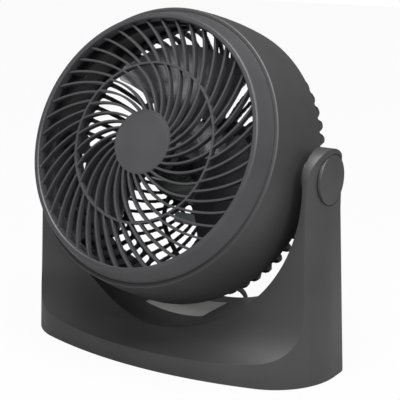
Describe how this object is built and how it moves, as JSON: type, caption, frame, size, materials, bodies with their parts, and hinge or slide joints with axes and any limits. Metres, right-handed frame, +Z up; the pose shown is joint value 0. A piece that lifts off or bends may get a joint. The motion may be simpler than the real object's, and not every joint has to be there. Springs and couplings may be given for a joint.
{
  "type": "air circulator fan",
  "caption": "Round tilting air circulator fan in a saddle stand, with swept front ribs, rear speed knob and mains cord with plug.",
  "frame": {"origin": "on the floor, under the middle of the fan's box without the cord", "axes": "+X to the right seen from the front, +Y to the rear, +Z up; the head is tilted 22.5 degrees up at rest"},
  "size_m": [0.3086, 0.2203, 0.2857],
  "materials": {
    "black_plastic": "fine satin moulding, nearly black",
    "grille_plastic": "satin moulding, charcoal",
    "blade_plastic": "smooth moulding, dark grey",
    "cap_plastic": "satin moulding, charcoal",
    "label_film": "blank silver film",
    "soft_rubber": "matt",
    "cord_sheath": "smooth flexible sheath",
    "steel": "zinc plated",
    "laminations": "stamped steel",
    "copper": "enamelled winding",
    "bronze": "sintered bush",
    "brass": "bright",
    "alloy": "die cast",
    "capacitor_case": "light grey moulded case"
  },
  "bodies": {
    "stand": {"stand_shell": "black_plastic", "base_plate": "black_plastic", "base_screws": "steel", "rubber_feet": "soft_rubber", "rating_label": "label_film", "pivot_cap_left": "cap_plastic", "pivot_cap_right": "cap_plastic", "tilt_washer_left": "black_plastic", "tilt_washer_right": "black_plastic", "cord_drop": "cord_sheath", "cord_run": "cord_sheath", "cord_coil": "cord_sheath", "cord_tail": "cord_sheath", "plug_body": "black_plastic", "plug_pins": "brass"},
    "head": {"drum_housing": "black_plastic", "pivot_inserts": "brass", "pivot_bolt_left": "steel", "pivot_bolt_right": "steel", "front_grille": "grille_plastic", "hub_badge": "grille_plastic", "front_grille_screws": "steel", "rear_grille": "grille_plastic", "rear_grille_screws": "steel", "motor_front_bell": "alloy", "motor_rear_bell": "alloy", "stator_core": "laminations", "stator_winding": "copper", "bearing_front": "bronze", "bearing_rear": "bronze", "motor_screws": "steel", "motor_cover": "black_plastic", "cover_screws": "steel", "rotary_switch": "black_plastic", "capacitor": "capacitor_case", "lead_wire": "cord_sheath", "cord_gland": "soft_rubber"},
    "rotor": {"motor_rotor": "alloy", "motor_shaft": "steel", "fan_blade": "blade_plastic", "blade_nut": "black_plastic"},
    "knob": {"speed_knob": "cap_plastic"}
  },
  "joints": [
    {"name": "tilt", "type": "hinge", "parent": "stand", "child": "head", "pos_m": [0, 0.00728, 0.1618], "axis": [-1, 0, 0], "range_deg": [-22.5, 67.5], "deforming": ["cord_drop"]},
    {"name": "fan_spin", "type": "hinge", "parent": "head", "child": "rotor", "pos_m": [0, 0.00728, 0.1618], "axis": [0, -0.9239, 0.3827], "continuous": true},
    {"name": "speed_knob_turn", "type": "hinge", "parent": "head", "child": "knob", "pos_m": [0, 0.00728, 0.1618], "axis": [0, -0.9239, 0.3827], "range_deg": [0, 150]}
  ]
}
